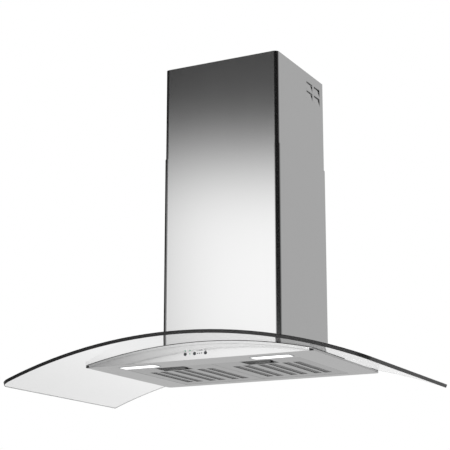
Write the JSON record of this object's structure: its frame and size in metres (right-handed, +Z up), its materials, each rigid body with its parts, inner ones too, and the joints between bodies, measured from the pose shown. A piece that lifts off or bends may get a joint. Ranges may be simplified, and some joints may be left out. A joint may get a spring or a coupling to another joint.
{
  "type": "range hood",
  "caption": "Wall-mounted range hood with a curved glass canopy, slim steel body with grease filters and strip lamps, and a telescopic steel chimney.",
  "frame": {"origin": "middle of the four wall screw holes, on the wall face of the hood's wall plate", "axes": "+X to the right as seen from the front, +Y into the wall, +Z up"},
  "size_m": [0.8994, 0.497, 0.7882],
  "materials": {
    "glass": "polished toughened glass",
    "black_rubber": "matt",
    "grey_rubber": "matt",
    "nylon": "satin",
    "zinc_steel": "zinc plated",
    "stainless": "fine brushed",
    "filter_steel": "satin",
    "filter_mesh": "expanded mesh",
    "galvanised": "galvanised",
    "motor_can": "plain",
    "lamp_metal": "satin",
    "lamp_diffuser": "opal",
    "white_plastic": "moulded",
    "black_plastic": "moulded",
    "button_chrome": "dark metallic",
    "green_lens": "clear green",
    "dark_lens": "smoked"
  },
  "bodies": {
    "hood": {"glass_canopy": "glass", "glass_gasket": "black_rubber", "rear_glass_pads": "grey_rubber", "glass_spacers": "black_rubber", "glass_washers": "nylon", "glass_screws": "zinc_steel", "top_plate": "stainless", "bottom_pan": "stainless", "front_fascia": "stainless", "corner_caps": "black_rubber", "switch_block": "black_plastic", "green_leds": "green_lens", "speed_leds": "dark_lens", "lower_chimney_cover": "stainless", "chimney_base_seal": "grey_rubber", "cover_brackets": "galvanised", "wall_plate": "galvanised", "blower_box": "galvanised", "blower_box_lid": "galvanised", "blower_box_screws": "zinc_steel", "cable_gland": "black_plastic", "motor_body": "motor_can", "motor_bracket": "galvanised", "motor_bushes": "black_rubber", "capacitor": "white_plastic", "control_box": "black_plastic", "outlet_collar": "black_plastic", "flap_pin": "zinc_steel", "left_lamp_housing": "lamp_metal", "left_lamp_diffuser": "lamp_diffuser", "left_led_board": "white_plastic", "left_scroll": "white_plastic", "right_lamp_housing": "lamp_metal", "right_lamp_diffuser": "lamp_diffuser", "right_led_board": "white_plastic", "right_scroll": "white_plastic"},
    "upper_chimney": {"upper_chimney_cover": "stainless", "chimney_wall_bracket": "galvanised", "chimney_bracket_screws": "zinc_steel"},
    "fan_rotor": {"fan_wheel": "white_plastic", "motor_shaft": "zinc_steel"},
    "left_filter": {"left_filter_face": "filter_steel", "left_filter_mesh": "filter_mesh", "left_filter_back": "filter_steel"},
    "left_latch": {"left_latch": "filter_steel"},
    "left_flap": {"left_flap": "black_plastic"},
    "right_filter": {"right_filter_face": "filter_steel", "right_filter_mesh": "filter_mesh", "right_filter_back": "filter_steel"},
    "right_latch": {"right_latch": "filter_steel"},
    "right_flap": {"right_flap": "black_plastic"},
    "left_button": {"left_button": "button_chrome"},
    "middle_button": {"middle_button": "button_chrome"},
    "right_button": {"right_button": "button_chrome"}
  },
  "joints": [
    {"name": "upper_chimney_slide", "type": "slide", "parent": "hood", "child": "upper_chimney", "axis": [0, 0, 1], "range_m": [-0.229, 0.15]},
    {"name": "fan_spin", "type": "hinge", "parent": "hood", "child": "fan_rotor", "pos_m": [0, -0.092, -0.005], "axis": [1, 0, 0], "continuous": true},
    {"name": "left_filter_tilt", "type": "hinge", "parent": "hood", "child": "left_filter", "pos_m": [-0.1095, -0.0344, -0.1787], "axis": [1, 0, 0], "range_deg": [0, 75]},
    {"name": "left_latch_slide", "type": "slide", "parent": "left_filter", "child": "left_latch", "axis": [0, 1, 0], "range_m": [0, 0.005], "stiffness_N_per_m": 400, "springref_m": -0.004},
    {"name": "left_flap_swing", "type": "hinge", "parent": "hood", "child": "left_flap", "pos_m": [0, -0.14425, 0.1753], "axis": [0, 1, 0], "range_deg": [0, 80]},
    {"name": "right_filter_tilt", "type": "hinge", "parent": "hood", "child": "right_filter", "pos_m": [0.1095, -0.0344, -0.1787], "axis": [1, 0, 0], "range_deg": [0, 75]},
    {"name": "right_latch_slide", "type": "slide", "parent": "right_filter", "child": "right_latch", "axis": [0, 1, 0], "range_m": [0, 0.005], "stiffness_N_per_m": 400, "springref_m": -0.004},
    {"name": "right_flap_swing", "type": "hinge", "parent": "hood", "child": "right_flap", "pos_m": [0, -0.14425, 0.1753], "axis": [0, -1, 0], "range_deg": [0, 80]},
    {"name": "left_button_press", "type": "slide", "parent": "hood", "child": "left_button", "axis": [0, 1, 0], "range_m": [0, 0.001], "stiffness_N_per_m": 900, "springref_m": -0.001},
    {"name": "middle_button_press", "type": "slide", "parent": "hood", "child": "middle_button", "axis": [0, 1, 0], "range_m": [0, 0.001], "stiffness_N_per_m": 900, "springref_m": -0.001},
    {"name": "right_button_press", "type": "slide", "parent": "hood", "child": "right_button", "axis": [0, 1, 0], "range_m": [0, 0.001], "stiffness_N_per_m": 900, "springref_m": -0.001}
  ]
}
